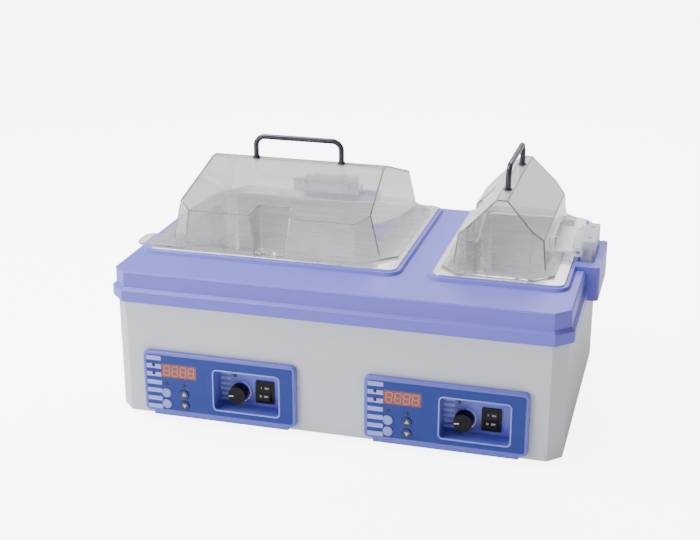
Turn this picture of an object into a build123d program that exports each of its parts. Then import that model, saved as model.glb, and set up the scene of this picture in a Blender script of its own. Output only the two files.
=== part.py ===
from build123d import *
from math import atan, cos, degrees, radians, sin, tan
import os

# A bench water bath with two heated chambers, two gabled clear lids on hinges and one
# control panel for each chamber. All lengths are in millimetres, all angles in degrees.

# Overall body
cover_length = 640
cover_depth = 402
foot_height = 8
corner_cut = 20

# Painted steel case
case_inset = 2
case_height = 184
case_wall = 1.5
case_flange = 12
window_margin = 8
vent_width = 5
vent_length = 45
vent_pitch = 12
vent_count = 8
vent_z = 110

# Moulded deck over the case
cover_wall = 3.5
cover_skirt_drop = 14.5
cover_flare = 5
flare_rise = 1.5
band_rise = 6
cover_rise = 29
cover_bevel = 2
lip_height = 4.5
lip_width = 8
lip_draft = 30
chamber_clearance = 2

# Screws that hold the cover down from inside the case
cover_screw = 4
cover_screw_clearance = 0.3
cover_screw_head = 8
cover_screw_head_height = 2.5
cover_screw_length = 14
cover_screw_inset = 8
cover_screw_end = 88
cover_screw_y = 120
screw_boss = 11
pilot_extra = 1

# Stainless chambers
right_rim_length = 181
chamber_gap = 51
rim_end_margin = 20
rim_front_margin = 85
rim_back_margin = 12
rim_corner = 13
rim_width = 14
rim_edge = 2.5
tank_wall = 1.5
tank_corner = 24
tank_floor_corner = 12
tank_floor = 70

# Perforated shelf in each chamber
tray_clearance = 11
tray_height = 18
tray_sheet = 1.5
tray_hole = 10
tray_pitch = 26
tray_leg = 8
tray_leg_inset = 10

# Heating, sensing and insulation
heater_sheet = 2
heater_margin = 16
heater_corner = 12
sensor_diameter = 6
sensor_length = 40
sensor_spread = 26
sensor_saddle = 8
sensor_room = 4
jacket_wall = 9
jacket_floor = 16
jacket_headroom = 13
jacket_clearance = 0.3

# Clear lids
lid_wall = 3
lid_seat_gap = 0.3
lid_front_inset = 5
lid_back_overhang = 14
left_lid_overhang = 1
left_lid_inset = 7
right_lid_inner_inset = 8.5
right_lid_outer_inset = 15.5
left_side_flange = 11
left_end_flange = 24
right_side_flange = 13.5
right_end_flange = 17
left_flange_cut = 46
right_flange_cut = 25
left_facet = 28
right_facet = 20
facet_overrun = 10
left_eave = 54
right_eave = 45
ridge_height = 99
ridge_width = 16
side_slope = 0.11
end_slope = 0.23
facet_slope = 0.16
notch_height = 66
notch_foot_width = 40
notch_foot_back = 32
notch_foot_depth = 13
notch_top_width = 68
notch_top_depth = 32
notch_overrun = 5
notch_margin = 20
slot_width = 26
slot_depth = 15
tab_reach = 20
tab_length = 48
tab_corner = 15

# Lid handle
handle_rod = 8
handle_spacing = 133
handle_rise = 33
handle_bend = 14
handle_collar = 12
handle_collar_height = 2
handle_screw = 4
handle_screw_clearance = 0.2
handle_screw_length = 10
handle_screw_head = 9
handle_screw_head_height = 2.5

# Lid hinge
right_hinge_reach = 35
left_hinge_reach = 22
pin_rise = 11.7
pin_diameter = 5
pin_clearance = 0.05
pin_overhang = 1
knuckle_diameter = 14
knuckle_width = 10
knuckle_gap = 0.5
leaf_length = 109
leaf_foot = 6
leaf_top = 28
leaf_sheet = 3
leaf_barrel_gap = 2
rivet_height = 21
rivet_spacing = 71
rivet_diameter = 5
rivet_clearance = 0.2
rivet_head = 10
rivet_head_height = 2.5
rivet_dome = 1.5
barrel_diameter = 15
block_neck = 3.5
block_back = 22
block_crown_reach = 5.5
block_crown = 13
block_corner = 3
block_screw = 4
block_screw_head = 7.5
block_screw_head_height = 2.5
block_screw_head_clearance = 0.3
block_screw_seat = 28
block_screw_tail = 2.5
block_screw_spacing = 50
block_screw_offset = 14
recess_back_gap = 2
boss_length = 122
boss_shift = 15
boss_wall = 10
boss_end_wall = 20
boss_rise = 6
boss_corner = 6
boss_overlap = 3

# Control panels
panel_margin = 23.5
panel_width = 226
panel_height = 93
panel_lift = 6
panel_proud = 8
panel_corner = 8
panel_edge = 2
panel_skin = 3
strip_inset = 12.5
strip_drop = 6
strip_proud = 5
overlay_border = 5
overlay_sheet = 0.6
display_width = 52.5
display_height = 21
display_in = 54
display_w = 19
lamp_diameter = 4.5
lamp_proud = 0.8
lamp_round = 0.6
lamp_clearance = 0.15
lamp_flange = 1
lamp_w = -1.5
button_left_in = 34.5
button_right_in = 61
button_upper_w = -15
button_lower_w = -32
button_diameter = 13.5
button_clearance = 0.4
button_proud = 1.6
button_round = 0.6
button_flange = 16.5
button_flange_sheet = 1
button_gap = 0.2
button_stem = 4
button_travel = 0.8
arrow_radius = 4
arrow_depth = 0.5

# Deep pocket of each panel with its knob and switch
pocket_in = 72.5
pocket_w = -2.5
pocket_width = 96
pocket_height = 60
pocket_depth = 28
pocket_corner = 5
pocket_wall = 2
pocket_lamp_offset = 26
pocket_lamp_w = 10
knob_offset = 18.5
knob_w = -13
knob_diameter = 26
knob_height = 16
knob_gap = 0.6
knob_grips = 18
knob_grip_radius = 0.8
pointer_angle = 187
pointer_length = 12
pointer_width = 2
pointer_rise = 0.8
spindle_diameter = 6
spindle_clearance = 0.05
spindle_engagement = 11
spindle_end_gap = 0.5
spindle_hole = 7
thermostat_diameter = 32
thermostat_length = 18
switch_offset = 18.5
switch_w = -10
switch_width = 27
switch_height = 34
switch_corner = 2
switch_frame = 2.5
switch_body_width = 23
switch_body_height = 29.5
switch_body_depth = 24
switch_well_depth = 9
terminal_width = 6
terminal_sheet = 1
terminal_length = 8
terminal_pitch = 9
rocker_width = 18.5
rocker_height = 24
rocker_side_clearance = 0.5
rocker_end_clearance = 1.2
rocker_pivot_depth = 3
rocker_back = 3
rocker_end_rise = 5.5
rocker_middle_rise = 3.8
rocker_tilt = 11
rocker_pin = 2.5
rocker_pin_reach = 1.2
rocker_pin_clearance = 0.05
rocker_pin_end_gap = 0.1

# Control boards behind the panels
board_width = 92
board_height = 74
board_sheet = 1.6
board_in = 56
board_gap = 12
board_post = 6
board_post_inset = 4
touch_switch = 6
touch_switch_height = 10
display_module_depth = 8
relay_size = 20
relay_depth = 16
relay_offset = 23
relay_w = 15
transformer_size = 32
transformer_depth = 28
transformer_offset = 12
transformer_w = 10

# Rear mains inlet
inlet_margin = 23
inlet_z = 34
inlet_width = 50
inlet_height = 24
inlet_plate = 3
inlet_body_width = 28
inlet_body_height = 20
inlet_body_depth = 26
inlet_body_clearance = 0.5
inlet_socket_width = 22.5
inlet_socket_height = 14.5
inlet_socket_depth = 17
blade_reach = 12
blade_width = 2
blade_height = 4
blade_pitch = 7
inlet_screw_spacing = 40
inlet_screw = 3
inlet_screw_head = 5.6
inlet_screw_head_height = 1.7
inlet_screw_length = 8

# Base pan, feet and their screws
base_edge = 12
base_wall = 1.5
base_clearance = 0.3
base_screw = 3
base_screw_head = 6
base_screw_head_height = 2
base_screw_length = 6
base_screw_inset = 8
foot_diameter = 30
foot_taper = 10
foot_inset = 55
foot_screw = 4
foot_screw_clearance = 0.2
foot_screw_head = 8
foot_screw_head_height = 2.5
foot_screw_recess = 5
foot_screw_tail = 5

# Heights and reaches that follow from the driving dimensions
case_front = cover_depth / 2 - case_inset
case_side = cover_length / 2 - case_inset
cover_bottom = case_height - cover_skirt_drop
flare_top = case_height + flare_rise
band_bottom = case_height + band_rise
cover_top = case_height + cover_rise
cover_screw_x = case_side - cover_screw_end
lip_top = cover_top + lip_height
rim_top = lip_top + rim_edge
lid_bottom = rim_top + lid_seat_gap
block_height = lid_bottom + pin_rise - cover_top
left_rim_length = cover_length - 2 * rim_end_margin - chamber_gap - right_rim_length
left_chamber_x = rim_end_margin + (left_rim_length - cover_length) / 2
right_chamber_x = (cover_length - right_rim_length) / 2 - rim_end_margin
rim_depth = cover_depth - rim_front_margin - rim_back_margin
chamber_setback = (rim_front_margin - rim_back_margin) / 2
tank_depth = rim_depth - 2 * rim_width
jacket_bottom = tank_floor - jacket_floor
jacket_top = cover_top - jacket_headroom
lid_depth = rim_depth - lid_front_inset + lid_back_overhang
lid_setback = chamber_setback + (lid_front_inset + lid_back_overhang) / 2
left_lid_length = left_rim_length + left_lid_overhang - left_lid_inset
left_lid_x = left_chamber_x - (left_lid_overhang + left_lid_inset) / 2
right_lid_span = right_rim_length - right_lid_inner_inset - right_lid_outer_inset
right_lid_x = right_chamber_x + (right_lid_inner_inset - right_lid_outer_inset) / 2
tab_root = left_flange_cut + tab_corner
notch_side_slope = (notch_top_width - notch_foot_width) / 2 / notch_height
notch_back_slope = (notch_top_depth - notch_foot_depth) / notch_height
notch_taper = degrees(atan((notch_foot_width - notch_foot_back) / 2 / notch_foot_depth))
facet_taper = degrees(atan(facet_slope))
boss_reach = block_back + recess_back_gap + boss_wall
barrel_length = leaf_length - 2 * (knuckle_width + knuckle_gap)
skin_back = panel_proud - panel_skin
overlay_front = panel_proud + overlay_sheet
cap_front = overlay_front + button_proud
cap_back = skin_back - button_gap
pocket_back = panel_proud - pocket_depth
pivot_out = pocket_back + switch_frame - rocker_pivot_depth
panel_middle = panel_lift + panel_height / 2
panel_spread = case_side - corner_cut - panel_margin - panel_width / 2
display_u = display_in - panel_width / 2
button_left_u = button_left_in - panel_width / 2
button_right_u = button_right_in - panel_width / 2
board_u = board_in - panel_width / 2
relay_u = board_u - relay_offset
transformer_u = board_u + transformer_offset
pocket_u = panel_width / 2 - pocket_in
pocket_lamp_u = pocket_u - pocket_lamp_offset
knob_u = pocket_u - knob_offset
switch_u = pocket_u + switch_offset
inlet_x = corner_cut + inlet_margin + inlet_width / 2 - case_side
inner_line = -case_inset - case_wall

# The origin lies on the bench, at the middle of the footprint that the hinge bosses at
# the right and the back, the flared skirt at the left and the buttons in front reach.
side_pin = right_lid_x + right_lid_span / 2 - right_side_flange + right_hinge_reach
back_pin = lid_setback + lid_depth / 2 - left_side_flange + left_hinge_reach
reach_left = cover_length / 2 + cover_flare
reach_right = side_pin + boss_reach
reach_front = case_front + cap_front
reach_back = back_pin + boss_reach
middle = Vector((reach_left - reach_right) / 2, (reach_front - reach_back) / 2, foot_height)


def level(x=0, y=0, z=0, ridge=(1, 0, 0)):
    """A level plane at x, y, z from the middle of the case's underside."""
    return Plane(middle + Vector(x, y, z), x_dir=ridge, z_dir=(0, 0, 1))


def moved(frame, x=0, y=0, z=0):
    """A frame carried along its own directions."""
    shift = frame.x_dir * x + frame.y_dir * y + frame.z_dir * z
    return Plane(frame.origin + shift, x_dir=frame.x_dir, z_dir=frame.z_dir)


def across(frame, x=0, y=0, z=0):
    """The upright plane square to a frame's x: its own x is the frame's y, its y is up."""
    base = moved(frame, x, y, z)
    return Plane(base.origin, x_dir=base.y_dir, z_dir=base.x_dir)


def along(frame, x=0, y=0, z=0):
    """The upright plane that holds a frame's x: its y is up and it faces the frame's -y."""
    base = moved(frame, x, y, z)
    return Plane(base.origin, x_dir=base.x_dir, z_dir=-base.y_dir)


def panel(bath, u=0, w=0, out=0):
    """An upright plane u to the right of a panel's middle, w above it, out from the case."""
    return along(level(bath["panel"] + u, -case_front - out, panel_middle + w))


def lid_wall_plane(bath, out=0):
    """The plane of a lid's hinge wall at the height of its rivets, facing out and up."""
    base = moved(bath["lid"], 0, bath["half_span"] - side_slope * rivet_height, rivet_height)
    normal = (base.y_dir + base.z_dir * side_slope).normalized()
    return Plane(base.origin + normal * out, x_dir=base.x_dir, z_dir=normal)


def finish(piece, name):
    """Names a finished piece and writes it to its own file."""
    piece.part.label = name
    export_step(piece.part, f"parts/{name}.step")


def body_plan(out=0):
    """The plan of the body, a rectangle with cut corners, grown by out on every side."""
    Rectangle(cover_length, cover_depth)
    chamfer(vertices(), corner_cut)
    if out:
        offset(amount=out, kind=Kind.INTERSECTION)


def gabled(bath, inset=0):
    """The gabled body of a lid without its flange: side walls and roof, end walls, then a
    leaning facet across each corner. Every face is moved in by inset and the foot carried
    down, so that the smaller one can hollow out the larger."""
    half_ridge = bath["half_ridge"]
    half_span = bath["half_span"]
    eave = bath["eave"]
    drop = 2 * inset
    with BuildPart() as body:
        with BuildSketch(across(bath["lid"])):
            with BuildLine():
                Polyline(
                    (-half_span - side_slope * drop, -drop),
                    (half_span + side_slope * drop, -drop),
                    (half_span - side_slope * eave, eave),
                    (ridge_width / 2, ridge_height),
                    (-ridge_width / 2, ridge_height),
                    (side_slope * eave - half_span, eave),
                    close=True,
                )
            make_face()
            if inset:
                offset(amount=-inset, kind=Kind.INTERSECTION)
        extrude(amount=half_ridge, both=True)
        with BuildSketch(along(bath["lid"])):
            with BuildLine():
                Polyline(
                    (-half_ridge - end_slope * drop, -drop),
                    (half_ridge + end_slope * drop, -drop),
                    (half_ridge - end_slope * ridge_height, ridge_height),
                    (end_slope * ridge_height - half_ridge, ridge_height),
                    close=True,
                )
            make_face()
            if inset:
                offset(amount=-inset, kind=Kind.INTERSECTION)
        extrude(amount=half_span, both=True, mode=Mode.INTERSECT)
        with BuildSketch(moved(bath["lid"], 0, 0, -drop)):
            Rectangle(2 * (half_ridge + facet_overrun), 2 * (half_span + facet_overrun))
            chamfer(vertices(), bath["facet"] + 2 * facet_overrun)
            if inset:
                offset(amount=facet_slope * drop - inset, kind=Kind.INTERSECTION)
        extrude(amount=ridge_height + drop, taper=facet_taper, mode=Mode.INTERSECT)
    return body


def notch(bath, grow=0):
    """The hand notch in the wall opposite the hinge, wider and deeper towards its top,
    with every face moved out by grow."""
    front = -bath["half_span"] - notch_overrun
    foot = notch_foot_width / 2 + notch_overrun * tan(radians(notch_taper))
    low = -notch_margin
    high = ridge_height + notch_margin
    back = notch_foot_depth - bath["half_span"]
    with BuildPart() as cut:
        with BuildSketch(along(bath["lid"], 0, front)):
            with BuildLine():
                Polyline(
                    (-foot - notch_side_slope * low, low),
                    (foot + notch_side_slope * low, low),
                    (foot + notch_side_slope * high, high),
                    (-foot - notch_side_slope * high, high),
                    close=True,
                )
            make_face()
            if grow:
                offset(amount=grow, kind=Kind.INTERSECTION)
        extrude(amount=front - back - notch_back_slope * ridge_height, taper=notch_taper)
        with BuildSketch(across(bath["lid"])):
            with BuildLine():
                Polyline(
                    (front, low),
                    (back + notch_back_slope * low, low),
                    (back + notch_back_slope * high, high),
                    (front, high),
                    close=True,
                )
            make_face()
            if grow:
                offset(amount=grow, kind=Kind.INTERSECTION)
        extrude(amount=notch_top_width, both=True, mode=Mode.INTERSECT)
    return cut


# A lid's frame lies at the middle of its underside, x along the ridge and y to the hinge.
# A hinge's frame is the lid's frame carried to the middle of the pin, and lip is where
# the foot of the cover's lip lies from the pin.
left_lid_frame = level(left_lid_x, lid_setback, lid_bottom)
right_lid_frame = level(right_lid_x, lid_setback, lid_bottom, ridge=(0, -1, 0))
baths = {
    "left": {
        "x": left_chamber_x,
        "rim_length": left_rim_length,
        "lid": left_lid_frame,
        "hinge": moved(left_lid_frame, 0, back_pin - lid_setback, pin_rise),
        "reach": left_hinge_reach,
        "lip": chamber_setback + rim_depth / 2 + lip_width - back_pin,
        "flare": cover_depth / 2 + cover_flare - back_pin,
        "length": left_lid_length,
        "span": lid_depth,
        "half_ridge": left_lid_length / 2 - left_end_flange,
        "half_span": lid_depth / 2 - left_side_flange,
        "flange_cut": left_flange_cut,
        "facet": left_facet,
        "eave": left_eave,
        "panel": -panel_spread,
    },
    "right": {
        "x": right_chamber_x,
        "rim_length": right_rim_length,
        "lid": right_lid_frame,
        "hinge": moved(right_lid_frame, 0, side_pin - right_lid_x, pin_rise),
        "reach": right_hinge_reach,
        "lip": right_chamber_x + right_rim_length / 2 + lip_width - side_pin,
        "flare": cover_length / 2 + cover_flare - side_pin,
        "length": lid_depth,
        "span": right_lid_span,
        "half_ridge": lid_depth / 2 - right_end_flange,
        "half_span": right_lid_span / 2 - right_side_flange,
        "flange_cut": right_flange_cut,
        "facet": right_facet,
        "eave": right_eave,
        "panel": panel_spread,
    },
}
foot_x = case_side - foot_inset
foot_y = case_front - foot_inset
foot_spots = [(x, y) for x in (-foot_x, foot_x) for y in (-foot_y, foot_y)]
side_x = cover_length / 2 - cover_screw_inset
front_y = cover_screw_inset - cover_depth / 2
cover_screw_spots = [(x, y) for x in (-side_x, side_x) for y in (-cover_screw_y, cover_screw_y)]
cover_screw_spots += [(x, front_y) for x in (-cover_screw_x, 0, cover_screw_x)]
base_x = case_side - base_screw_inset
base_y = case_front - base_screw_inset
base_screw_spots = [(x, y) for x in (-base_x, base_x) for y in (-cover_screw_y, cover_screw_y)]
base_screw_spots += [(x, y) for x in (-cover_screw_x, cover_screw_x) for y in (-base_y, base_y)]
inlet_screw_spots = [(-inlet_screw_spacing / 2, 0), (inlet_screw_spacing / 2, 0)]
block_screw_spots = [
    (-block_screw_spacing / 2, block_screw_offset),
    (block_screw_spacing / 2, block_screw_offset),
]
lamp_spots = [(button_left_u, lamp_w), (button_right_u, lamp_w)]
button_spots = {
    "upper_button": (button_left_u, button_upper_w),
    "lower_button": (button_left_u, button_lower_w),
    "up_button": (button_right_u, button_upper_w),
    "down_button": (button_right_u, button_lower_w),
}
arrow_turns = {"up_button": 90, "down_button": -90}
os.makedirs("parts", exist_ok=True)

# Case: a painted steel wrap with cut corners and flanges turned in at the top and the
# bottom, a window behind each panel, an inlet window and cooling slots at the back.
with BuildPart() as case_shell:
    with BuildSketch(level()):
        body_plan(-case_inset)
    extrude(amount=case_height)
    with BuildSketch(level(z=case_wall)):
        body_plan(inner_line)
    extrude(amount=case_height - 2 * case_wall, mode=Mode.SUBTRACT)
    with BuildSketch(level()):
        body_plan(inner_line - case_flange)
    extrude(amount=case_height, mode=Mode.SUBTRACT)
    with BuildSketch(level(z=case_height)):
        with Locations(*cover_screw_spots):
            Circle(cover_screw / 2 + cover_screw_clearance)
    extrude(amount=-case_wall, mode=Mode.SUBTRACT)
    with BuildSketch(level()):
        with Locations(*base_screw_spots):
            Circle(base_screw / 2)
    extrude(amount=case_wall, mode=Mode.SUBTRACT)
    for bath in baths.values():
        with BuildSketch(panel(bath)):
            Rectangle(panel_width - 2 * window_margin, panel_height - 2 * window_margin)
        extrude(amount=-case_wall, mode=Mode.SUBTRACT)
    with BuildSketch(along(level(inlet_x, case_front, inlet_z))):
        Rectangle(
            inlet_body_width + 2 * inlet_body_clearance, inlet_body_height + 2 * inlet_body_clearance
        )
        with Locations(*inlet_screw_spots):
            Circle(inlet_screw / 2)
    extrude(amount=case_wall, mode=Mode.SUBTRACT)
    with BuildSketch(along(level(0, case_front, vent_z))):
        with GridLocations(vent_pitch, 1, vent_count, 1):
            SlotOverall(vent_length, vent_width, rotation=90)
    extrude(amount=case_wall, mode=Mode.SUBTRACT)
finish(case_shell, "case_shell")

# Base plate: a steel pan that lies on the case's bottom flange with its edge turned up.
with BuildPart() as base_plate:
    with BuildSketch(level(z=case_wall)):
        body_plan(inner_line - base_clearance)
    extrude(amount=base_edge)
    with BuildSketch(level(z=case_wall + base_wall)):
        body_plan(inner_line - base_clearance - base_wall)
    extrude(amount=base_edge, mode=Mode.SUBTRACT)
    with BuildSketch(level(z=case_wall)):
        with Locations(*foot_spots):
            Circle(foot_screw / 2 + foot_screw_clearance)
        with Locations(*base_screw_spots):
            Circle(base_screw / 2)
    extrude(amount=base_wall, mode=Mode.SUBTRACT)
finish(base_plate, "base_plate")

# Screws up through the bottom flange into the pan.
with BuildPart() as base_screws:
    with BuildSketch(level()):
        with Locations(*base_screw_spots):
            Circle(base_screw_head / 2)
    extrude(amount=-base_screw_head_height)
    with BuildSketch(level()):
        with Locations(*base_screw_spots):
            Circle(base_screw / 2)
    extrude(amount=base_screw_length)
finish(base_screws, "base_screws")

# Rubber feet under the pan, each with a well for its screw's head.
with BuildPart() as rubber_feet:
    with BuildSketch(level(z=case_wall)):
        with Locations(*foot_spots):
            Circle(foot_diameter / 2)
    extrude(amount=-foot_height - case_wall, taper=foot_taper)
    with BuildSketch(level(z=-foot_height)):
        with Locations(*foot_spots):
            Circle(foot_screw_head / 2 + foot_screw_clearance)
    extrude(amount=foot_screw_recess, mode=Mode.SUBTRACT)
    with BuildSketch(level(z=-foot_height)):
        with Locations(*foot_spots):
            Circle(foot_screw / 2 + foot_screw_clearance)
    extrude(amount=foot_height + case_wall, mode=Mode.SUBTRACT)
finish(rubber_feet, "rubber_feet")

# Screws up through the feet and the pan.
with BuildPart() as foot_screws:
    with BuildSketch(level(z=foot_screw_recess - foot_height)):
        with Locations(*foot_spots):
            Circle(foot_screw_head / 2)
    extrude(amount=-foot_screw_head_height)
    with BuildSketch(level(z=foot_screw_recess - foot_height)):
        with Locations(*foot_spots):
            Circle(foot_screw / 2)
    extrude(amount=foot_height - foot_screw_recess + case_wall + base_wall + foot_screw_tail)
finish(foot_screws, "foot_screws")

# Cover: a moulded shell with a flared skirt that hangs outside the case, a raised lip
# round each chamber and a recessed boss for each hinge. It rests on the case by a ledge.
with BuildPart() as cover:
    with BuildSketch(level(z=cover_bottom)):
        body_plan(cover_flare)
    extrude(amount=flare_top - cover_bottom)
    with BuildSketch(level(z=flare_top)):
        body_plan(cover_flare)
    with BuildSketch(level(z=band_bottom)):
        body_plan()
    loft(ruled=True)
    with BuildSketch(level(z=band_bottom)):
        body_plan()
    extrude(amount=cover_top - band_bottom)
    chamfer(edges().group_by(Axis.Z)[-1], cover_bevel)
    for bath in baths.values():
        boss_width = boss_reach - bath["lip"] + boss_overlap
        with BuildSketch(moved(bath["hinge"], boss_shift, 0, -block_height)):
            with Locations((0, boss_reach - boss_width / 2)):
                Rectangle(boss_length, boss_width)
            fillet(vertices().group_by(Axis.Y)[-1], boss_corner)
        extrude(amount=cover_bottom - cover_top)
        with BuildSketch(moved(bath["hinge"], boss_shift, 0, -block_height)):
            with Locations((0, boss_reach - boss_width / 2)):
                Rectangle(boss_length, boss_width)
            fillet(vertices().group_by(Axis.Y)[-1], boss_corner)
            with Locations((-boss_end_wall, boss_reach - boss_width / 2 - boss_wall)):
                Rectangle(boss_length, boss_width, mode=Mode.SUBTRACT)
        extrude(amount=boss_rise)
        with BuildSketch(level(bath["x"], chamber_setback, cover_top)):
            RectangleRounded(
                bath["rim_length"] + 2 * lip_width, rim_depth + 2 * lip_width, rim_corner + lip_width
            )
        extrude(amount=lip_height, taper=lip_draft)
    with BuildSketch(level(z=cover_bottom)):
        body_plan(cover_flare - cover_wall)
    extrude(amount=cover_skirt_drop, mode=Mode.SUBTRACT)
    with BuildSketch(level(z=case_height)):
        body_plan(-cover_wall)
    extrude(amount=cover_top - cover_wall - case_height, mode=Mode.SUBTRACT)
    for bath in baths.values():
        hollow = boss_reach - cover_wall - bath["flare"]
        boss_room = moved(bath["hinge"], boss_shift, bath["flare"] + hollow / 2, -block_height - cover_wall)
        with BuildSketch(boss_room):
            Rectangle(boss_length - 2 * cover_wall, hollow)
        extrude(amount=cover_bottom - cover_top, mode=Mode.SUBTRACT)
        with BuildSketch(level(bath["x"], chamber_setback, case_height)):
            RectangleRounded(
                bath["rim_length"] - 2 * rim_width + 2 * chamber_clearance,
                tank_depth + 2 * chamber_clearance,
                tank_corner + chamber_clearance,
            )
        extrude(amount=lip_top - case_height, mode=Mode.SUBTRACT)
        with BuildSketch(moved(bath["hinge"], 0, 0, -block_height)):
            with Locations(*block_screw_spots):
                Circle(block_screw / 2)
        extrude(amount=-cover_wall - block_screw_tail, mode=Mode.SUBTRACT)
    with BuildSketch(level(z=case_height)):
        with Locations(*cover_screw_spots):
            Circle(screw_boss / 2)
    extrude(amount=cover_top - cover_wall - case_height)
    with BuildSketch(level(z=case_height)):
        with Locations(*cover_screw_spots):
            Circle(cover_screw / 2)
    extrude(amount=cover_screw_length - case_wall + pilot_extra, mode=Mode.SUBTRACT)
finish(cover, "cover")

# Screws up through the case's top flange into the cover's bosses.
with BuildPart() as cover_screws:
    with BuildSketch(level(z=case_height - case_wall)):
        with Locations(*cover_screw_spots):
            Circle(cover_screw_head / 2)
    extrude(amount=-cover_screw_head_height)
    with BuildSketch(level(z=case_height - case_wall)):
        with Locations(*cover_screw_spots):
            Circle(cover_screw / 2)
    extrude(amount=cover_screw_length)
finish(cover_screws, "cover_screws")

# Mains inlet at the back: a flanged socket with three blades.
with BuildPart() as power_inlet:
    with BuildSketch(along(level(inlet_x, case_front, inlet_z))):
        Rectangle(inlet_width, inlet_height)
    extrude(amount=-inlet_plate)
    with BuildSketch(along(level(inlet_x, case_front, inlet_z))):
        Rectangle(inlet_body_width, inlet_body_height)
    extrude(amount=inlet_body_depth)
    with BuildSketch(along(level(inlet_x, case_front + inlet_plate, inlet_z))):
        Rectangle(inlet_socket_width, inlet_socket_height)
    extrude(amount=inlet_socket_depth, mode=Mode.SUBTRACT)
    with BuildSketch(along(level(inlet_x, case_front + inlet_plate - inlet_socket_depth, inlet_z))):
        with GridLocations(blade_pitch, 1, 3, 1):
            Rectangle(blade_width, blade_height)
    extrude(amount=-blade_reach)
    with BuildSketch(along(level(inlet_x, case_front + inlet_plate, inlet_z))):
        with Locations(*inlet_screw_spots):
            Circle(inlet_screw / 2)
    extrude(amount=inlet_plate, mode=Mode.SUBTRACT)
finish(power_inlet, "power_inlet")

with BuildPart() as inlet_screws:
    with BuildSketch(along(level(inlet_x, case_front + inlet_plate, inlet_z))):
        with Locations(*inlet_screw_spots):
            Circle(inlet_screw_head / 2)
    extrude(amount=-inlet_screw_head_height)
    with BuildSketch(along(level(inlet_x, case_front + inlet_plate, inlet_z))):
        with Locations(*inlet_screw_spots):
            Circle(inlet_screw / 2)
    extrude(amount=inlet_screw_length)
finish(inlet_screws, "inlet_screws")

# Screws down through the hinge blocks into the cover's bosses.
with BuildPart() as hinge_block_screws:
    for bath in baths.values():
        with BuildSketch(moved(bath["hinge"], 0, 0, block_screw_seat - block_height)):
            with Locations(*block_screw_spots):
                Circle(block_screw_head / 2)
        extrude(amount=block_screw_head_height)
        with BuildSketch(moved(bath["hinge"], 0, 0, block_screw_seat - block_height)):
            with Locations(*block_screw_spots):
                Circle(block_screw / 2)
        extrude(amount=-block_screw_seat - cover_wall - block_screw_tail)
finish(hinge_block_screws, "hinge_block_screws")

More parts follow.
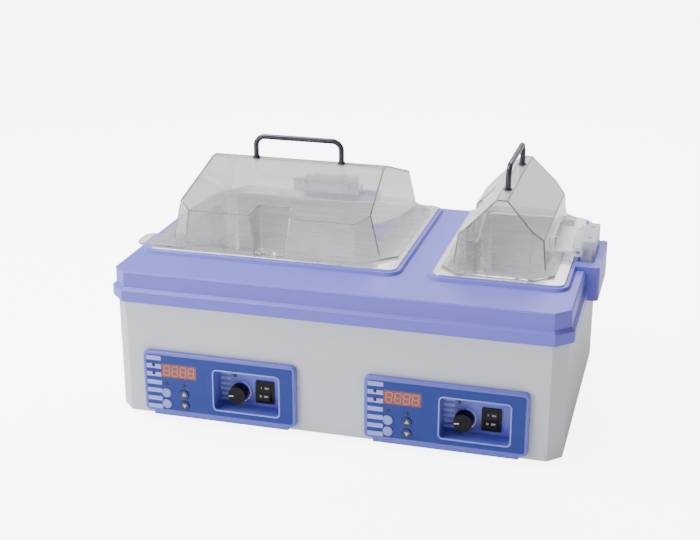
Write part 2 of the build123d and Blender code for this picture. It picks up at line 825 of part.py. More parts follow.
for side, bath in baths.items():
    tank_length = bath["rim_length"] - 2 * rim_width

    # Tank: a deep-drawn stainless chamber that hangs on the cover's lip by its rim.
    with BuildPart() as tank:
        with BuildSketch(level(bath["x"], chamber_setback, tank_floor)):
            RectangleRounded(tank_length, tank_depth, tank_corner)
        extrude(amount=rim_top - tank_floor)
        fillet(edges().group_by(Axis.Z)[0], tank_floor_corner)
        offset(amount=-tank_wall, openings=faces().sort_by(Axis.Z)[-1])
        with BuildSketch(level(bath["x"], chamber_setback, lip_top)):
            RectangleRounded(bath["rim_length"], rim_depth, rim_corner)
            RectangleRounded(tank_length, tank_depth, tank_corner, mode=Mode.SUBTRACT)
        extrude(amount=rim_edge)
        with BuildSketch(level(bath["x"], chamber_setback, lip_top)):
            RectangleRounded(
                bath["rim_length"] - 2 * tank_wall, rim_depth - 2 * tank_wall, rim_corner - tank_wall
            )
            RectangleRounded(tank_length, tank_depth, tank_corner, mode=Mode.SUBTRACT)
        extrude(amount=rim_edge - tank_wall, mode=Mode.SUBTRACT)
    finish(tank, f"{side}_tank")

    # Tray: a perforated shelf on four legs that keeps vessels off the chamber's floor.
    tray_length = tank_length - 2 * (tank_wall + tray_clearance)
    tray_depth = tank_depth - 2 * (tank_wall + tray_clearance)
    tray_foot = tank_floor + tank_wall
    with BuildPart() as tray:
        with BuildSketch(level(bath["x"], chamber_setback, tray_foot + tray_height)):
            RectangleRounded(tray_length, tray_depth, tank_corner - tank_wall - tray_clearance)
            with GridLocations(
                tray_pitch,
                tray_pitch,
                int((tray_length - 2 * tray_hole) / tray_pitch),
                int((tray_depth - 2 * tray_hole) / tray_pitch),
            ):
                Circle(tray_hole / 2, mode=Mode.SUBTRACT)
        extrude(amount=-tray_sheet)
        with BuildSketch(level(bath["x"], chamber_setback, tray_foot)):
            with GridLocations(tray_length - 2 * tray_leg_inset, tray_depth - 2 * tray_leg_inset, 2, 2):
                Circle(tray_leg / 2)
        extrude(amount=tray_height - tray_sheet)
    finish(tray, f"{side}_tray")

    # Heater: a flat pad against the underside of the tank.
    with BuildPart() as heater:
        with BuildSketch(level(bath["x"], chamber_setback, tank_floor)):
            RectangleRounded(tank_length - 2 * heater_margin, tank_depth - 2 * heater_margin, heater_corner)
        extrude(amount=-heater_sheet)
    finish(heater, f"{side}_heater")

    # Sensors: a control probe and a cut-out probe, each with a saddle on the heater.
    sensor_top = tank_floor - heater_sheet
    with BuildPart() as sensors:
        with BuildSketch(level(bath["x"], chamber_setback, sensor_top)):
            with GridLocations(sensor_spread, 1, 2, 1):
                Rectangle(sensor_saddle, sensor_length)
        extrude(amount=-sensor_diameter / 2)
        with BuildSketch(
            along(level(bath["x"], chamber_setback + sensor_length / 2, sensor_top - sensor_diameter / 2))
        ):
            with GridLocations(sensor_spread, 1, 2, 1):
                Circle(sensor_diameter / 2)
        extrude(amount=sensor_length)
    finish(sensors, f"{side}_sensors")

    # Jacket: insulation round the tank, closed under the heater but for the probes' room.
    with BuildPart() as jacket:
        with BuildSketch(level(bath["x"], chamber_setback, jacket_bottom)):
            RectangleRounded(
                tank_length + 2 * (jacket_clearance + jacket_wall),
                tank_depth + 2 * (jacket_clearance + jacket_wall),
                tank_corner + jacket_clearance + jacket_wall,
            )
        extrude(amount=jacket_top - jacket_bottom)
        with BuildSketch(level(bath["x"], chamber_setback, sensor_top)):
            RectangleRounded(
                tank_length + 2 * jacket_clearance,
                tank_depth + 2 * jacket_clearance,
                tank_corner + jacket_clearance,
            )
        extrude(amount=jacket_top - sensor_top, mode=Mode.SUBTRACT)
        with BuildSketch(level(bath["x"], chamber_setback, sensor_top)):
            Rectangle(
                sensor_spread + sensor_saddle + 2 * sensor_room, sensor_length + 2 * sensor_room
            )
        extrude(amount=-sensor_diameter - sensor_room, mode=Mode.SUBTRACT)
    finish(jacket, f"{side}_insulation_jacket")

    # Lid: a clear gabled hood with a flange round its foot, a hand notch with a hose slot
    # opposite the hinge and, on the larger one, a finger tab at the front corner.
    shape = gabled(bath)
    hollow_shape = gabled(bath, lid_wall)
    notch_shape = notch(bath)
    notch_wall_shape = notch(bath, lid_wall)
    with BuildPart() as hollow:
        add(hollow_shape.part)
        add(notch_wall_shape.part, mode=Mode.SUBTRACT)
    with BuildPart() as lid:
        add(shape.part)
        add(notch_shape.part, mode=Mode.SUBTRACT)
        with BuildSketch(bath["lid"]):
            Rectangle(bath["length"], bath["span"])
            chamfer(vertices(), bath["flange_cut"])
            if side == "left":
                tab_x = (tab_root - tab_reach - bath["length"]) / 2
                with Locations((tab_x, (tab_length - bath["span"]) / 2)):
                    RectangleRounded(tab_root + tab_reach, tab_length, tab_corner)
        extrude(amount=lid_wall)
        add(hollow.part, mode=Mode.SUBTRACT)
        with BuildSketch(bath["lid"]):
            with Locations((0, -bath["span"] / 2 - slot_width / 2)):
                SlotOverall(2 * slot_depth + slot_width, slot_width, rotation=90)
        extrude(amount=lid_wall, mode=Mode.SUBTRACT)
        with BuildSketch(moved(bath["lid"], 0, 0, ridge_height)):
            with GridLocations(handle_spacing, 1, 2, 1):
                Circle(handle_screw / 2 + handle_screw_clearance)
        extrude(amount=-lid_wall, mode=Mode.SUBTRACT)
        with BuildSketch(lid_wall_plane(bath)):
            with GridLocations(rivet_spacing, 1, 2, 1):
                Circle(rivet_diameter / 2 + rivet_clearance)
        extrude(amount=-2 * lid_wall, mode=Mode.SUBTRACT)
    finish(lid, f"{side}_lid")

    # Handle: a bent rod with a collar at each foot, standing on the ridge.
    with BuildPart() as handle:
        with BuildLine(along(bath["lid"])):
            FilletPolyline(
                (-handle_spacing / 2, ridge_height),
                (-handle_spacing / 2, ridge_height + handle_rise),
                (handle_spacing / 2, ridge_height + handle_rise),
                (handle_spacing / 2, ridge_height),
                radius=handle_bend,
            )
        with BuildSketch(moved(bath["lid"], -handle_spacing / 2, 0, ridge_height)):
            Circle(handle_rod / 2)
        sweep()
        with BuildSketch(moved(bath["lid"], 0, 0, ridge_height)):
            with GridLocations(handle_spacing, 1, 2, 1):
                Circle(handle_collar / 2)
        extrude(amount=handle_collar_height)
        with BuildSketch(moved(bath["lid"], 0, 0, ridge_height)):
            with GridLocations(handle_spacing, 1, 2, 1):
                Circle(handle_screw / 2)
        extrude(amount=handle_screw_length - lid_wall, mode=Mode.SUBTRACT)
    finish(handle, f"{side}_handle")

    with BuildPart() as handle_screws:
        with BuildSketch(moved(bath["lid"], 0, 0, ridge_height - lid_wall)):
            with GridLocations(handle_spacing, 1, 2, 1):
                Circle(handle_screw_head / 2)
        extrude(amount=-handle_screw_head_height)
        with BuildSketch(moved(bath["lid"], 0, 0, ridge_height - lid_wall)):
            with GridLocations(handle_spacing, 1, 2, 1):
                Circle(handle_screw / 2)
        extrude(amount=handle_screw_length)
    finish(handle_screws, f"{side}_handle_screws")

    # Hinge leaf: a flap on the lid's wall, an arm to the pin and a knuckle at each end.
    leaf_lean = leaf_sheet * (1 + side_slope**2) ** 0.5
    arm_back = -bath["reach"] - side_slope * pin_rise + leaf_lean / 2
    arm_end = -barrel_diameter / 2 - leaf_barrel_gap
    with BuildPart() as leaf:
        with BuildSketch(across(bath["hinge"])):
            with BuildLine():
                Polyline(
                    (-bath["reach"] - side_slope * leaf_foot, leaf_foot - pin_rise),
                    (-bath["reach"] - side_slope * leaf_foot + leaf_lean, leaf_foot - pin_rise),
                    (-bath["reach"] - side_slope * leaf_top + leaf_lean, leaf_top - pin_rise),
                    (-bath["reach"] - side_slope * leaf_top, leaf_top - pin_rise),
                    close=True,
                )
            make_face()
            with Locations(((arm_back + arm_end) / 2, 0)):
                Rectangle(arm_end - arm_back, leaf_sheet)
        extrude(amount=leaf_length / 2, both=True)
        for end in (-1, 1):
            with BuildSketch(across(bath["hinge"], end * leaf_length / 2)):
                Circle(knuckle_diameter / 2)
                with Locations((arm_end / 2, 0)):
                    Rectangle(-arm_end, leaf_sheet)
            extrude(amount=-end * knuckle_width)
        with BuildSketch(across(bath["hinge"])):
            Circle(pin_diameter / 2 + pin_clearance)
        extrude(amount=leaf_length / 2, both=True, mode=Mode.SUBTRACT)
        with BuildSketch(lid_wall_plane(bath)):
            with GridLocations(rivet_spacing, 1, 2, 1):
                Circle(rivet_diameter / 2 + rivet_clearance)
        extrude(amount=leaf_sheet, mode=Mode.SUBTRACT)
    finish(leaf, f"{side}_hinge_leaf")

    with BuildPart() as rivets:
        with BuildSketch(lid_wall_plane(bath, leaf_sheet)):
            with GridLocations(rivet_spacing, 1, 2, 1):
                Circle(rivet_head / 2)
        extrude(amount=rivet_head_height)
        with BuildSketch(lid_wall_plane(bath, -lid_wall)):
            with GridLocations(rivet_spacing, 1, 2, 1):
                Circle(rivet_head / 2)
        extrude(amount=-rivet_head_height)
        rings = edges().filter_by(GeomType.CIRCLE).group_by(Axis((0, 0, 0), lid_wall_plane(bath).z_dir))
        fillet(rings[0] + rings[-1], rivet_dome)
        with BuildSketch(lid_wall_plane(bath, -lid_wall)):
            with GridLocations(rivet_spacing, 1, 2, 1):
                Circle(rivet_diameter / 2)
        extrude(amount=lid_wall + leaf_sheet)
    finish(rivets, f"{side}_hinge_rivets")

    with BuildPart() as pin:
        with BuildSketch(across(bath["hinge"])):
            Circle(pin_diameter / 2)
        extrude(amount=leaf_length / 2 + pin_overhang, both=True)
    finish(pin, f"{side}_hinge_pin")

    # Hinge block: a barrel between the knuckles on a body that stands in the boss.
    with BuildPart() as block:
        with BuildSketch(across(bath["hinge"])):
            with BuildLine():
                Polyline(
                    (block_neck, -block_height),
                    (block_back, -block_height),
                    (block_back, block_crown),
                    (block_crown_reach, block_crown),
                    (block_neck, 0),
                    close=True,
                )
            make_face()
        extrude(amount=barrel_length / 2, both=True)
        outward = Axis((0, 0, 0), bath["hinge"].y_dir)
        chamfer(edges().filter_by(Axis.Z).group_by(outward)[-1], block_corner)
        with BuildSketch(across(bath["hinge"])):
            Circle(barrel_diameter / 2)
        extrude(amount=barrel_length / 2, both=True)
        with BuildSketch(across(bath["hinge"])):
            Circle(pin_diameter / 2)
        extrude(amount=barrel_length / 2, both=True, mode=Mode.SUBTRACT)
        with BuildSketch(moved(bath["hinge"], 0, 0, block_screw_seat - block_height)):
            with Locations(*block_screw_spots):
                Circle(block_screw_head / 2 + block_screw_head_clearance)
        extrude(amount=block_height, mode=Mode.SUBTRACT)
        with BuildSketch(moved(bath["hinge"], 0, 0, -block_height)):
            with Locations(*block_screw_spots):
                Circle(block_screw / 2)
        extrude(amount=block_screw_seat, mode=Mode.SUBTRACT)
    finish(block, f"{side}_hinge_block")

    # Bezel: a moulded panel frame on the case's front with a strip under it, posts for
    # the board behind it and a deep pocket through the case's window.
    with BuildPart() as bezel:
        with BuildSketch(panel(bath)):
            RectangleRounded(panel_width, panel_height, panel_corner)
        extrude(amount=panel_proud)
        chamfer(edges().group_by(Axis.Y)[0], panel_edge)
        with BuildSketch(panel(bath)):
            RectangleRounded(
                panel_width - 2 * panel_skin, panel_height - 2 * panel_skin, panel_corner - panel_skin
            )
        extrude(amount=skin_back, mode=Mode.SUBTRACT)
        with BuildSketch(panel(bath, 0, (panel_skin - panel_height - strip_drop) / 2)):
            Rectangle(panel_width - 2 * strip_inset, strip_drop + panel_skin)
        extrude(amount=strip_proud)
        with BuildSketch(panel(bath, board_u, 0, skin_back)):
            with GridLocations(board_width - 2 * board_post_inset, board_height - 2 * board_post_inset, 2, 2):
                Circle(board_post / 2)
        extrude(amount=-skin_back - board_gap)
        with BuildSketch(panel(bath, pocket_u, pocket_w, skin_back)):
            RectangleRounded(
                pocket_width + 2 * pocket_wall, pocket_height + 2 * pocket_wall, pocket_corner + pocket_wall
            )
        extrude(amount=pocket_back - pocket_wall - skin_back)
        with BuildSketch(panel(bath, pocket_u, pocket_w, panel_proud)):
            RectangleRounded(pocket_width, pocket_height, pocket_corner)
        extrude(amount=-pocket_depth, mode=Mode.SUBTRACT)
        with BuildSketch(panel(bath, 0, 0, panel_proud)):
            with Locations((display_u, display_w)):
                Rectangle(display_width, display_height)
            with Locations(*lamp_spots):
                Circle(lamp_diameter / 2 + lamp_clearance)
            with Locations(*button_spots.values()):
                Circle(button_diameter / 2 + button_clearance)
        extrude(amount=-panel_skin, mode=Mode.SUBTRACT)
        with BuildSketch(panel(bath, 0, 0, pocket_back)):
            with Locations((knob_u, knob_w)):
                Circle(spindle_hole / 2)
            with Locations((switch_u, switch_w)):
                Rectangle(switch_body_width, switch_body_height)
            with Locations((pocket_lamp_u, pocket_lamp_w)):
                Circle(lamp_diameter / 2 + lamp_clearance)
        extrude(amount=-pocket_wall, mode=Mode.SUBTRACT)
    finish(bezel, f"{side}_bezel")

    # Overlay: the printed sheet on the panel, open for the pocket and the controls.
    with BuildPart() as overlay:
        with BuildSketch(panel(bath, 0, 0, panel_proud)):
            RectangleRounded(
                panel_width - 2 * overlay_border,
                panel_height - 2 * overlay_border,
                panel_corner - overlay_border,
            )
            with Locations((pocket_u, pocket_w)):
                RectangleRounded(pocket_width, pocket_height, pocket_corner, mode=Mode.SUBTRACT)
            with Locations((display_u, display_w)):
                Rectangle(display_width, display_height, mode=Mode.SUBTRACT)
            with Locations(*lamp_spots):
                Circle(lamp_diameter / 2 + lamp_clearance, mode=Mode.SUBTRACT)
            with Locations(*button_spots.values()):
                Circle(button_diameter / 2 + button_clearance, mode=Mode.SUBTRACT)
        extrude(amount=overlay_sheet)
    finish(overlay, f"{side}_overlay")

    with BuildPart() as display:
        with BuildSketch(panel(bath, display_u, display_w, skin_back)):
            Rectangle(display_width, display_height)
        extrude(amount=panel_skin + overlay_sheet / 2)
    finish(display, f"{side}_display_window")

    # Lamps: two in the panel and one in the pocket, each held by a flange behind its hole.
    with BuildPart() as lamps:
        for spots, back, sheet in (
            (lamp_spots, skin_back, panel_skin + overlay_sheet),
            ([(pocket_lamp_u, pocket_lamp_w)], pocket_back - pocket_wall, pocket_wall),
        ):
            with BuildSketch(panel(bath, 0, 0, back)):
                with Locations(*spots):
                    Circle(lamp_diameter / 2)
            extrude(amount=sheet + lamp_proud)
            tops = faces().filter_by(Axis.Y).group_by(Axis.Y)[0 if back > 0 else -2]
            fillet(tops.edges(), lamp_round)
            with BuildSketch(panel(bath, 0, 0, back)):
                with Locations(*spots):
                    Circle(lamp_diameter / 2 + lamp_flange)
            extrude(amount=-lamp_flange)
    finish(lamps, f"{side}_lamps")

    # Buttons: a cap through the panel, a flange behind it and a stem to its switch.
    stem_end = touch_switch_height - board_gap + button_travel + button_gap
    for name, (u, w) in button_spots.items():
        with BuildPart() as button:
            with BuildSketch(panel(bath, u, w, cap_back)):
                Circle(button_diameter / 2)
            extrude(amount=cap_front - cap_back)
            fillet(edges().group_by(Axis.Y)[0], button_round)
            with BuildSketch(panel(bath, u, w, cap_back)):
                Circle(button_flange / 2)
            extrude(amount=-button_flange_sheet)
            with BuildSketch(panel(bath, u, w, cap_back)):
                Circle(button_stem / 2)
            extrude(amount=stem_end - cap_back)
            if name in arrow_turns:
                with BuildSketch(panel(bath, u, w, cap_front)):
                    RegularPolygon(arrow_radius, 3, rotation=arrow_turns[name])
                extrude(amount=-arrow_depth, mode=Mode.SUBTRACT)
        finish(button, f"{side}_{name}")

    # Knob: a fluted cap with a raised pointer that turns on the thermostat's spindle.
    with BuildPart() as knob:
        with BuildSketch(panel(bath, knob_u, knob_w, pocket_back + knob_gap)):
            Circle(knob_diameter / 2)
            with PolarLocations(knob_diameter / 2, knob_grips):
                Circle(knob_grip_radius, mode=Mode.SUBTRACT)
        extrude(amount=knob_height)
        turn = radians(pointer_angle)
        with BuildSketch(panel(bath, knob_u, knob_w, pocket_back + knob_gap + knob_height)):
            with Locations((cos(turn) * pointer_length / 2, sin(turn) * pointer_length / 2)):
                Rectangle(pointer_length, pointer_width, rotation=pointer_angle)
        extrude(amount=pointer_rise)
        with BuildSketch(panel(bath, knob_u, knob_w, pocket_back + knob_gap)):
            Circle(spindle_diameter / 2 + spindle_clearance)
        extrude(amount=spindle_engagement, mode=Mode.SUBTRACT)
    finish(knob, f"{side}_knob")

    with BuildPart() as thermostat:
        with BuildSketch(panel(bath, knob_u, knob_w, pocket_back - pocket_wall)):
            Circle(thermostat_diameter / 2)
        extrude(amount=-thermostat_length)
        with BuildSketch(panel(bath, knob_u, knob_w, pocket_back - pocket_wall)):
            Circle(spindle_diameter / 2)
        extrude(amount=pocket_wall + knob_gap + spindle_engagement - spindle_end_gap)
    finish(thermostat, f"{side}_thermostat")

    # Switch: a framed housing through the pocket's floor and a rocker with two pivots,
    # drawn switched on, with its upper end pressed in.
    pivot = level(bath["panel"] + switch_u, -case_front - pivot_out, panel_middle + switch_w)
    well_width = rocker_width + 2 * rocker_side_clearance
    with BuildPart() as housing:
        with BuildSketch(panel(bath, switch_u, switch_w, pocket_back)):
            RectangleRounded(switch_width, switch_height, switch_corner)
        extrude(amount=switch_frame)
        with BuildSketch(panel(bath, switch_u, switch_w, pocket_back)):
            Rectangle(switch_body_width, switch_body_height)
        extrude(amount=-switch_body_depth)
        with BuildSketch(panel(bath, switch_u, switch_w, pocket_back + switch_frame)):
            Rectangle(well_width, rocker_height + 2 * rocker_end_clearance)
        extrude(amount=-switch_well_depth, mode=Mode.SUBTRACT)
        with BuildSketch(across(pivot)):
            Circle(rocker_pin / 2 + rocker_pin_clearance)
        extrude(
            amount=well_width / 2 + rocker_pin_reach + rocker_pin_end_gap, both=True, mode=Mode.SUBTRACT
        )
        with BuildSketch(panel(bath, switch_u, switch_w, pocket_back - switch_body_depth)):
            with GridLocations(1, terminal_pitch, 1, 3):
                Rectangle(terminal_width, terminal_sheet)
        extrude(amount=-terminal_length)
    finish(housing, f"{side}_switch_housing")

    lean = radians(rocker_tilt)
    rocker_plane = Plane(pivot.origin, x_dir=(0, cos(lean), -sin(lean)), z_dir=(1, 0, 0))
    with BuildPart() as rocker:
        with BuildSketch(rocker_plane):
            with BuildLine():
                Polyline(
                    (rocker_back, -rocker_height / 2),
                    (rocker_back, rocker_height / 2),
                    (-rocker_end_rise, rocker_height / 2),
                    (-rocker_middle_rise, 0),
                    (-rocker_end_rise, -rocker_height / 2),
                    close=True,
                )
            make_face()
        extrude(amount=rocker_width / 2, both=True)
        with BuildSketch(rocker_plane):
            Circle(rocker_pin / 2)
        extrude(amount=well_width / 2 + rocker_pin_reach, both=True)
    finish(rocker, f"{side}_rocker")

    # Control board: display module and touch switches in front, relay and transformer behind.
    with BuildPart() as board:
        with BuildSketch(panel(bath, board_u, 0, -board_gap)):
            Rectangle(board_width, board_height)
        extrude(amount=-board_sheet)
        with BuildSketch(panel(bath, display_u, display_w, -board_gap)):
            Rectangle(display_width, display_height)
        extrude(amount=display_module_depth)
        with BuildSketch(panel(bath, 0, 0, -board_gap)):
            with Locations(*button_spots.values()):
                Rectangle(touch_switch, touch_switch)
        extrude(amount=touch_switch_height)
        with BuildSketch(panel(bath, relay_u, relay_w, -board_gap - board_sheet)):
            Rectangle(relay_size, relay_size)
        extrude(amount=-relay_depth)
        with BuildSketch(panel(bath, transformer_u, transformer_w, -board_gap - board_sheet)):
            Rectangle(transformer_size, transformer_size)
        extrude(amount=-transformer_depth)
    finish(board, f"{side}_control_board")
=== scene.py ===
from math import cos, pi, radians, sin

import bmesh
import bpy
import numpy as np
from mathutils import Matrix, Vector


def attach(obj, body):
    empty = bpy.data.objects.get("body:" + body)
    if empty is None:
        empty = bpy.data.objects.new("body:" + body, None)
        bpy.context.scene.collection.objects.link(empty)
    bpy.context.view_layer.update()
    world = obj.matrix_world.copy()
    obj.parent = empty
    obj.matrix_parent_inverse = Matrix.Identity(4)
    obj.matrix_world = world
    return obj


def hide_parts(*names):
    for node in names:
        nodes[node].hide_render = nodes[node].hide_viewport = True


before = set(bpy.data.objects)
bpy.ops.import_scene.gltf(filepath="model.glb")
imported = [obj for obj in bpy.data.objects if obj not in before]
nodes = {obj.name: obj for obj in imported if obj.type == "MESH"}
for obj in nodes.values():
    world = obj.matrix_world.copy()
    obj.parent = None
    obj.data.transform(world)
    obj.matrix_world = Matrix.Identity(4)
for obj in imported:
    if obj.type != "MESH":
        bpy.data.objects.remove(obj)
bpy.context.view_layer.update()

scene = bpy.context.scene
sides = ("left", "right")

# The camera stands in front of the right-hand chamber and looks down on the bath, as a
# catalogue photographer would. It is tilted, where the photographer's lens was shifted.
camera_place = Vector((0.4592, -1.8114, 0.8651))
camera_aim = Vector((-0.0272, -0.0483, 0.1889))
camera_data = bpy.data.cameras.new("camera")
camera_data.lens = 68.56
camera_data.sensor_width = 36
camera = bpy.data.objects.new("camera", camera_data)
camera.location = camera_place
camera.rotation_euler = (camera_aim - camera_place).to_track_quat("-Z", "Y").to_euler()
scene.collection.objects.link(camera)
scene.camera = camera

# The studio: an even white surround, a broad soft light high on the left, a weaker one low
# at the left front and one behind that draws light edges on the clear lids.
surround_strength = 0.4
lit_point = Vector((0, 0, 0.15))
studio = bpy.data.worlds.new("studio")
studio.use_nodes = True
surround = studio.node_tree.nodes["Background"]
surround.inputs["Color"].default_value = (1, 1, 1, 1)
surround.inputs["Strength"].default_value = surround_strength
scene.world = studio
for light_name, place, size, power in (
    ("soft_key", (-1.3, -0.3, 2.4), 1.5, 118),
    ("soft_front", (-2.0, -2.2, 0.8), 1.3, 52),
    ("lid_strip", (0.2, 1.7, 1.8), 1.4, 34),
):
    light_data = bpy.data.lights.new(light_name, "AREA")
    light_data.shape = "DISK"
    light_data.size = size
    light_data.energy = power
    light = bpy.data.objects.new(light_name, light_data)
    light.location = place
    light.rotation_euler = (lit_point - Vector(place)).to_track_quat("-Z", "Y").to_euler()
    scene.collection.objects.link(light)


def grid_faces(rows, columns):
    """Quads between the rings of a grid whose columns close on themselves: corner i, j joins
    i, j + 1, then i + 1, j + 1 and i + 1, j, with j taken round the ring."""
    i, j = np.meshgrid(np.arange(rows - 1), np.arange(columns), indexing="ij")
    k = (j + 1) % columns
    corners = (i * columns + j, i * columns + k, (i + 1) * columns + k, (i + 1) * columns + j)
    return np.stack(corners, -1).reshape(-1, 4)


# Corners closer than weld_distance, in metres, are one corner. Edges sharper than
# sharp_edge, in degrees, stay sharp on a smooth piece.
weld_distance = 1e-7
sharp_edge = 35


def new_piece(name, points, faces, material, body=None, smooth=True):
    """An object from an array of points in metres and a list of faces, riding on a body."""
    mesh = bpy.data.meshes.new(name)
    mesh.from_pydata(points.reshape(-1, 3).tolist(), [], [list(map(int, f)) for f in faces])
    welded = bmesh.new()
    welded.from_mesh(mesh)
    bmesh.ops.remove_doubles(welded, verts=welded.verts, dist=weld_distance)
    bmesh.ops.recalc_face_normals(welded, faces=welded.faces)
    welded.to_mesh(mesh)
    welded.free()
    mesh.materials.append(material)
    if smooth:
        mesh.shade_smooth()
        mesh.set_sharp_from_angle(angle=radians(sharp_edge))
    else:
        mesh.shade_flat()
    piece = bpy.data.objects.new(name, mesh)
    scene.collection.objects.link(piece)
    if body:
        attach(piece, body)
    return piece


# The floor: one pale sheet that curves up into a backdrop far behind the bath. Its section
# is flat, then a quarter circle, then upright, carried sideways. It glows more for the
# camera than for the bath, so it reads as white without lighting the bath from below.
def sweep_section(start, reach, bend, rise, steps=24):
    """Points (y, z) of the section: level from start to reach, round a quarter turn, then
    up by rise."""
    turn = np.linspace(0, pi / 2, steps)
    arc = np.stack((reach + bend * np.sin(turn), bend * (1 - np.cos(turn))), -1)
    return np.concatenate(([[start, 0.0]], arc, [[reach + bend, bend + rise]]))


glow_on_bath = 0.15
glow_in_camera = 6.0
gap_under_feet = 0.0004
floor_half_width = 8
floor_strips = 2
floor_paper = bpy.data.materials.new("floor_paper")
floor_paper.use_nodes = True
paper = floor_paper.node_tree.nodes["Principled BSDF"]
paper.inputs["Base Color"].default_value = (0.95, 0.95, 0.95, 1)
paper.inputs["Roughness"].default_value = 0.9
paper.inputs["Emission Color"].default_value = (1, 1, 1, 1)
seen = floor_paper.node_tree.nodes.new("ShaderNodeLightPath")
glow = floor_paper.node_tree.nodes.new("ShaderNodeMapRange")
glow.inputs["To Min"].default_value = glow_on_bath
glow.inputs["To Max"].default_value = glow_in_camera
floor_paper.node_tree.links.new(seen.outputs["Is Camera Ray"], glow.inputs["Value"])
floor_paper.node_tree.links.new(glow.outputs["Result"], paper.inputs["Emission Strength"])
section = sweep_section(-6.0, 3.5, 1.5, 5.0)
across = np.linspace(-floor_half_width, floor_half_width, floor_strips + 1)
floor_parts = np.broadcast_arrays(across[:, None], section[:, 0], section[:, 1] - gap_under_feet)
floor_points = np.stack(floor_parts, -1)
row, step = np.meshgrid(np.arange(floor_strips), np.arange(len(section) - 1), indexing="ij")
first = (row * len(section) + step).ravel()
floor_faces = np.stack((first, first + len(section), first + len(section) + 1, first + 1), -1)
floor = new_piece("floor", floor_points, floor_faces, floor_paper)


# Shared effects: grain is the fine texture of a coating or a moulding with a slow drift of
# tone, and drawn lines are the streaks that rolling and polishing leave in steel.
def new_group(name, sockets_in, sockets_out):
    """An empty node group with its named inputs and outputs."""
    group = bpy.data.node_groups.new(name, "ShaderNodeTree")
    for label, kind, value in sockets_in:
        entry = group.interface.new_socket(name=label, in_out="INPUT", socket_type=kind)
        if value is not None:
            entry.default_value = value
    for label, kind in sockets_out:
        group.interface.new_socket(name=label, in_out="OUTPUT", socket_type=kind)
    return group, group.nodes.new("NodeGroupInput"), group.nodes.new("NodeGroupOutput")


def between(tree, source, low, high, link_low=None, link_high=None):
    """Maps a value from 0..1 to low..high."""
    node = tree.nodes.new("ShaderNodeMapRange")
    node.inputs["To Min"].default_value = low
    node.inputs["To Max"].default_value = high
    tree.links.new(source, node.inputs["Value"])
    if link_low:
        tree.links.new(link_low, node.inputs["To Min"])
    if link_high:
        tree.links.new(link_high, node.inputs["To Max"])
    return node.outputs["Result"]


grain, grain_in, grain_out = new_group(
    "grain",
    [
        ("Vector", "NodeSocketVector", None),
        ("Grain Scale", "NodeSocketFloat", 900.0),
        ("Drift Scale", "NodeSocketFloat", 7.0),
        ("Darkest", "NodeSocketFloat", 0.94),
        ("Lightest", "NodeSocketFloat", 1.05),
    ],
    [("Tone", "NodeSocketFloat"), ("Height", "NodeSocketFloat"), ("Rub", "NodeSocketFloat")],
)
fine = grain.nodes.new("ShaderNodeTexNoise")
fine.inputs["Detail"].default_value = 3
slow = grain.nodes.new("ShaderNodeTexNoise")
slow.inputs["Detail"].default_value = 2
for noise, scale in ((fine, "Grain Scale"), (slow, "Drift Scale")):
    grain.links.new(grain_in.outputs["Vector"], noise.inputs["Vector"])
    grain.links.new(grain_in.outputs[scale], noise.inputs["Scale"])
darkest, lightest = grain_in.outputs["Darkest"], grain_in.outputs["Lightest"]
tone = between(grain, slow.outputs["Fac"], 0, 1, darkest, lightest)
grain.links.new(tone, grain_out.inputs["Tone"])
grain.links.new(fine.outputs["Fac"], grain_out.inputs["Height"])
grain.links.new(slow.outputs["Fac"], grain_out.inputs["Rub"])

drawn, drawn_in, drawn_out = new_group(
    "drawn_lines",
    [("Vector", "NodeSocketVector", None), ("Fineness", "NodeSocketFloat", 260.0)],
    [("Streak", "NodeSocketFloat")],
)
stretch = drawn.nodes.new("ShaderNodeMapping")
stretch.inputs["Scale"].default_value = (0.04, 1, 1)
streak = drawn.nodes.new("ShaderNodeTexNoise")
streak.inputs["Detail"].default_value = 4
drawn.links.new(drawn_in.outputs["Vector"], stretch.inputs["Vector"])
drawn.links.new(stretch.outputs["Vector"], streak.inputs["Vector"])
drawn.links.new(drawn_in.outputs["Fineness"], streak.inputs["Scale"])
drawn.links.new(streak.outputs["Fac"], drawn_out.inputs["Streak"])

# The depth of a coating's grain, in metres.
grain_depth = 0.0002


def coated(name, colour, rough, grain_scale=900, bump=0.05, tones=(0.95, 1.05), drift=7, **plain):
    """A paint, moulding or film: the colour times the grain's tone, a roughness that drifts
    between two values, and the grain as a bump. What is the same all over is in plain."""
    material = bpy.data.materials.new(name)
    material.use_nodes = True
    tree = material.node_tree
    shader = tree.nodes["Principled BSDF"]
    place = tree.nodes.new("ShaderNodeTexCoord")
    effect = tree.nodes.new("ShaderNodeGroup")
    effect.node_tree = grain
    effect.inputs["Grain Scale"].default_value = grain_scale
    effect.inputs["Drift Scale"].default_value = drift
    effect.inputs["Darkest"].default_value = tones[0]
    effect.inputs["Lightest"].default_value = tones[1]
    tree.links.new(place.outputs["Object"], effect.inputs["Vector"])
    tint = tree.nodes.new("ShaderNodeVectorMath")
    tint.operation = "SCALE"
    tint.inputs[0].default_value = colour
    tree.links.new(effect.outputs["Tone"], tint.inputs["Scale"])
    tree.links.new(tint.outputs["Vector"], shader.inputs["Base Color"])
    tree.links.new(between(tree, effect.outputs["Rub"], *rough), shader.inputs["Roughness"])
    bumps = tree.nodes.new("ShaderNodeBump")
    bumps.inputs["Strength"].default_value = bump
    bumps.inputs["Distance"].default_value = grain_depth
    tree.links.new(effect.outputs["Height"], bumps.inputs["Height"])
    tree.links.new(bumps.outputs["Normal"], shader.inputs["Normal"])
    for socket, value in plain.items():
        shader.inputs[socket.replace("_", " ")].default_value = value
    return material


